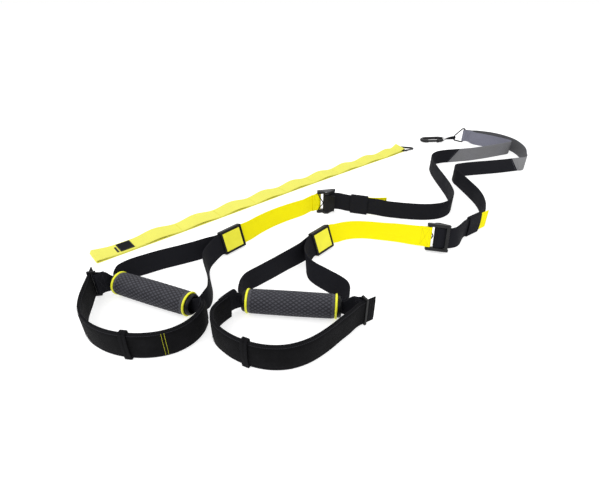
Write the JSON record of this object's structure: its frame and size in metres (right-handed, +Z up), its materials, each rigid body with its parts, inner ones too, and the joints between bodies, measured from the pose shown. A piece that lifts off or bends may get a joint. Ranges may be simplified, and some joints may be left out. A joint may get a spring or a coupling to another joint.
{
  "type": "suspension trainer",
  "caption": "Strap suspension trainer laid out on a floor: grips with foot cradles, adjustable legs, crown with ring and carabiner, and separate anchor strap.",
  "frame": {"origin": "on the floor, under the middle of the whole layout's bounding box", "axes": "+X to the right along the layout's longest side, +Y away from the foot cradles towards the crown, +Z up"},
  "size_m": [1.035, 0.947, 0.0547],
  "materials": {
    "yellow_webbing": "woven, matt",
    "black_webbing": "woven, matt",
    "grey_webbing": "woven, matt",
    "padded_band": "padded, matt",
    "label": "woven, bare",
    "grip_rubber": "moulded diamond texture",
    "black_plastic": "moulded",
    "yellow_plastic": "moulded",
    "dark_metal": "black, satin",
    "pins": "plain"
  },
  "bodies": {
    "straps": {"crown_strap": "grey_webbing", "left_leg_strap": "black_webbing", "left_return_run": "black_webbing", "left_buckle_frame": "dark_metal", "left_cam_pin": "pins", "left_cam_spring": "pins", "left_yellow_strap": "yellow_webbing", "left_plate_frame": "black_plastic", "left_plate_face": "yellow_plastic", "left_handle_strap": "black_webbing", "left_link_strap": "black_webbing", "left_foot_cradle": "padded_band", "left_cradle_glide": "black_plastic", "left_keeper_loop": "black_webbing", "right_leg_strap": "black_webbing", "right_return_run": "black_webbing", "right_buckle_frame": "dark_metal", "right_cam_pin": "pins", "right_cam_spring": "pins", "right_yellow_strap": "yellow_webbing", "right_plate_frame": "black_plastic", "right_plate_face": "yellow_plastic", "right_handle_strap": "black_webbing", "right_link_strap": "black_webbing", "right_foot_cradle": "padded_band", "right_cradle_glide": "black_plastic", "right_keeper_loop": "black_webbing"},
    "left_grip": {"left_grip_tube": "black_plastic", "left_grip_rubber": "grip_rubber", "left_grip_outer_ring": "yellow_plastic", "left_grip_inner_ring": "yellow_plastic", "left_grip_outer_cap": "black_plastic", "left_grip_inner_cap": "black_plastic"},
    "right_grip": {"right_grip_tube": "black_plastic", "right_grip_rubber": "grip_rubber", "right_grip_outer_ring": "yellow_plastic", "right_grip_inner_ring": "yellow_plastic", "right_grip_outer_cap": "black_plastic", "right_grip_inner_cap": "black_plastic"},
    "left_lever": {"left_cam_lever": "dark_metal"},
    "right_lever": {"right_cam_lever": "dark_metal"},
    "left_sleeve": {"left_adjuster_sleeve": "black_webbing", "left_pull_tab": "yellow_webbing"},
    "right_sleeve": {"right_adjuster_sleeve": "black_webbing", "right_pull_tab": "yellow_webbing"},
    "ring": {"delta_ring": "dark_metal", "locking_loop": "black_webbing"},
    "main_carabiner": {"main_carabiner_body": "dark_metal", "main_gate_pin": "pins"},
    "main_carabiner_gate": {"main_gate": "dark_metal"},
    "anchor": {"anchor_strap": "yellow_webbing", "anchor_label": "label"},
    "anchor_carabiner": {"anchor_carabiner_body": "dark_metal", "anchor_gate_pin": "pins"},
    "anchor_carabiner_gate": {"anchor_gate": "dark_metal"}
  },
  "joints": [
    {"name": "left_grip_spin", "type": "hinge", "parent": "straps", "child": "left_grip", "pos_m": [-0.35446, -0.33823, 0.0194], "axis": [0.9245, -0.3812, 0], "continuous": true},
    {"name": "right_grip_spin", "type": "hinge", "parent": "straps", "child": "right_grip", "pos_m": [-0.14096, -0.36273, 0.0194], "axis": [0.9954, -0.0957, 0], "continuous": true},
    {"name": "left_cam_press", "type": "hinge", "parent": "straps", "child": "left_lever", "pos_m": [-0.07296, -0.04093, 0.0256], "axis": [0, 0, 1], "range_deg": [0, 16], "stiffness_Nm_per_rad": 0.1, "springref_deg": -14.32},
    {"name": "right_cam_press", "type": "hinge", "parent": "straps", "child": "right_lever", "pos_m": [0.12593, -0.17929, 0.02556], "axis": [-0.0436, -0.2756, -0.9603], "range_deg": [0, 16], "stiffness_Nm_per_rad": 0.1, "springref_deg": -14.32},
    {"name": "left_sleeve_slide", "type": "slide", "parent": "straps", "child": "left_sleeve", "axis": [0.9581, -0.2865, 0], "range_m": [0, 0.01]},
    {"name": "right_sleeve_slide", "type": "slide", "parent": "straps", "child": "right_sleeve", "axis": [0.8181, 0.575, 0], "range_m": [0, 0.01]},
    {"name": "ring_swing", "type": "hinge", "parent": "straps", "child": "ring", "pos_m": [0.39454, 0.44527, 0.0227], "axis": [0, 0, 1], "range_deg": [-30, 30]},
    {"name": "main_carabiner_lift", "type": "hinge", "parent": "ring", "child": "main_carabiner", "pos_m": [0.32917, 0.4545, 0.0069], "axis": [0, 1, 0], "range_deg": [0, 60]},
    {"name": "main_gate_open", "type": "hinge", "parent": "main_carabiner", "child": "main_carabiner_gate", "pos_m": [0.31298, 0.44, 0.00637], "axis": [0.0328, 0, -0.9995], "range_deg": [0, 25], "stiffness_Nm_per_rad": 0.05, "springref_deg": -17.19},
    {"name": "anchor_lift", "type": "slide", "parent": "straps", "child": "anchor", "axis": [0, 0, 1], "range_m": [0, 0.15]},
    {"name": "anchor_carabiner_lift", "type": "hinge", "parent": "anchor", "child": "anchor_carabiner", "pos_m": [0.17554, 0.36677, 0.0052], "axis": [0.632, -0.775, 0], "range_deg": [0, 60]},
    {"name": "anchor_gate_open", "type": "hinge", "parent": "anchor_carabiner", "child": "anchor_carabiner_gate", "pos_m": [0.19532, 0.35529, 0.00475], "axis": [0.0437, 0.0356, 0.9984], "range_deg": [0, 22], "stiffness_Nm_per_rad": 0.02, "springref_deg": -17.19}
  ]
}
